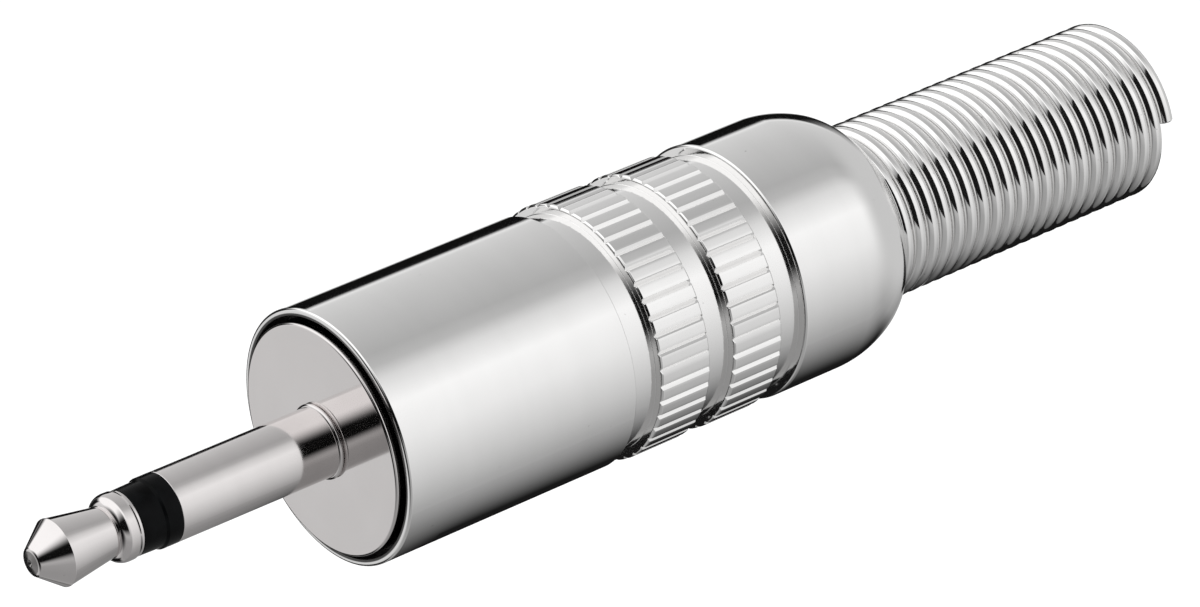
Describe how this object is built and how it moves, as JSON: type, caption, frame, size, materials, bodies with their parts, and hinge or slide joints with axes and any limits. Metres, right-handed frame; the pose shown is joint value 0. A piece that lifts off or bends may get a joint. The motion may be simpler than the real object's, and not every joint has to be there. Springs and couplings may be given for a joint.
{
  "type": "mini-jack plug",
  "caption": "Straight two-contact mini-jack plug for a cable: stepped tip, black insulating ring, plain sleeve, knurled screw-on metal shell and coiled wire cable guard.",
  "frame": {"origin": "centre of the flange's front face, on the plug's axis", "axes": "+X along the plug's axis towards the cable, -X towards the tip, +Z away from the side of the cable clamp's base"},
  "size_m": [0.0477, 0.0094, 0.0094],
  "materials": {
    "nickel_plate": "bright nickel plate on turned brass",
    "spring_wire": "bright nickel plate on drawn steel wire",
    "black_insulator": "turned black plastic, glossy",
    "inner_insulator": "plain pale plastic",
    "tinned_lug": "tinned brass strip"
  },
  "bodies": {
    "plug_body": {"sleeve_body": "nickel_plate", "tip_contact": "nickel_plate", "tip_insulator": "black_insulator", "core_tube": "inner_insulator", "rear_bush": "inner_insulator", "terminal_washer": "inner_insulator", "sleeve_lug": "tinned_lug", "tip_lug": "tinned_lug"},
    "liner": {"liner": "inner_insulator"},
    "shell": {"shell": "nickel_plate"},
    "guard": {"guard_spring": "spring_wire"}
  },
  "joints": [
    {"name": "shell_travel", "type": "slide", "parent": "plug_body", "child": "liner", "axis": [1, 0, 0], "range_m": [0, 0.004]},
    {"name": "shell_turn", "type": "hinge", "parent": "liner", "child": "shell", "pos_m": [0, 0, 0], "axis": [1, 0, 0], "range_deg": [0, 2880]},
    {"name": "guard_spin", "type": "hinge", "parent": "shell", "child": "guard", "pos_m": [0.02, 0, 0], "axis": [1, 0, 0], "continuous": true}
  ],
  "couplings": [
    {"joint": "shell_travel", "follows": "shell_turn", "m_per_rad": 0.000079577}
  ]
}
